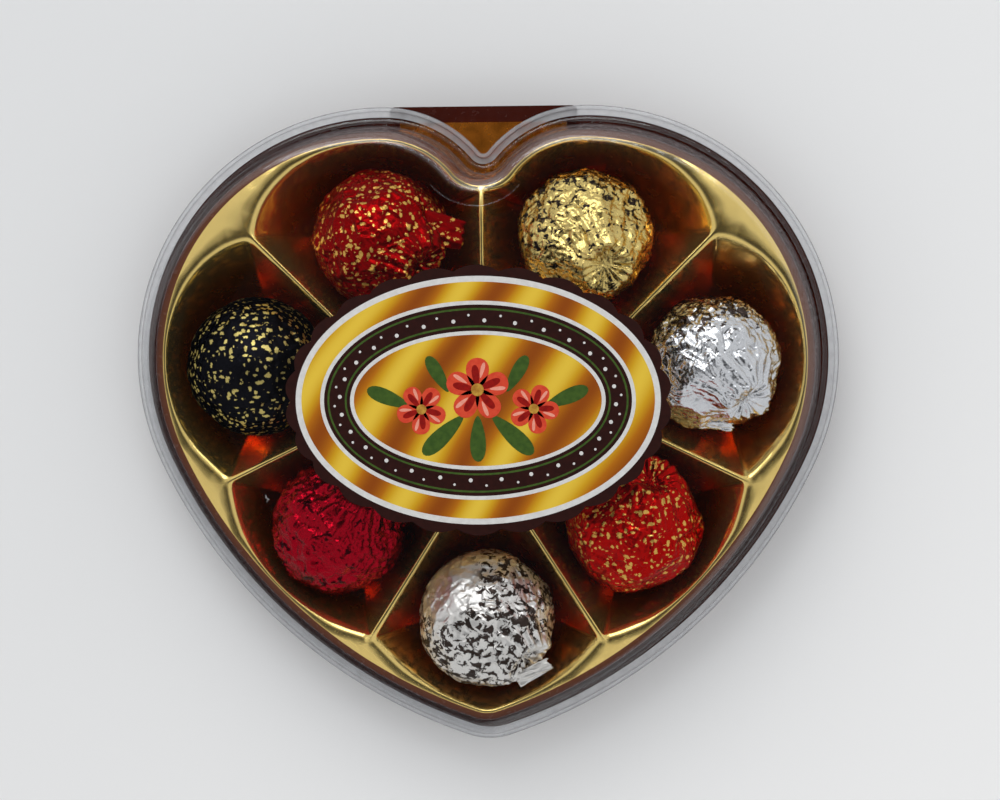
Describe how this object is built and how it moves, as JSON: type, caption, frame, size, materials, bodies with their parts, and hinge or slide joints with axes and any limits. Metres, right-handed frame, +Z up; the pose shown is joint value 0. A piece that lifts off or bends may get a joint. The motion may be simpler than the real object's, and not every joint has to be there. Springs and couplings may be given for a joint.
{
  "type": "heart-shaped chocolate box",
  "caption": "Heart-shaped gift box: brown base, gold tray with a pocket for each foil-wrapped praline, and a clear lift-off lid with an oval label.",
  "frame": {"origin": "on the resting face, under the middle of the box as seen from above", "axes": "+X across the two lobes, +Y from the heart's tip to its lobes, +Z up out of the lid's face"},
  "size_m": [0.15, 0.1356, 0.0366],
  "materials": {
    "brown_plastic": "glossy dark-brown moulded plastic",
    "gold_sheet": "mirror-bright gold metallised sheet",
    "clear_plastic": "clear glossy plastic",
    "printed_label": "glossy printed label",
    "foil_red": "crumpled red foil with gold flecks",
    "foil_black": "crumpled black foil with gold flecks",
    "foil_crimson": "crumpled crimson foil with dark flecks",
    "foil_silver": "crumpled silver foil with black flecks",
    "foil_gold": "crumpled gold foil with black flecks",
    "nut_coat": "rough nut and chocolate coat",
    "praline_filling": "soft cocoa filling"
  },
  "bodies": {
    "base": {"base_pan": "brown_plastic"},
    "tray": {"cavity_tray": "gold_sheet", "top_left_praline_foil": "foil_red", "top_left_praline_coat": "nut_coat", "top_left_praline_filling": "praline_filling", "left_praline_foil": "foil_black", "left_praline_coat": "nut_coat", "left_praline_filling": "praline_filling", "lower_left_praline_foil": "foil_crimson", "lower_left_praline_coat": "nut_coat", "lower_left_praline_filling": "praline_filling", "bottom_praline_foil": "foil_silver", "bottom_praline_coat": "nut_coat", "bottom_praline_filling": "praline_filling", "lower_right_praline_foil": "foil_red", "lower_right_praline_coat": "nut_coat", "lower_right_praline_filling": "praline_filling", "right_praline_foil": "foil_silver", "right_praline_coat": "nut_coat", "right_praline_filling": "praline_filling", "top_right_praline_foil": "foil_gold", "top_right_praline_coat": "nut_coat", "top_right_praline_filling": "praline_filling"},
    "lid": {"lid_shell": "clear_plastic", "lid_label": "printed_label"}
  },
  "joints": [
    {"name": "tray_lift", "type": "slide", "parent": "base", "child": "tray", "axis": [0, 0, 1], "range_m": [0, 0.03]},
    {"name": "lid_lift", "type": "slide", "parent": "tray", "child": "lid", "axis": [0, 0, 1], "range_m": [0, 0.06]}
  ]
}
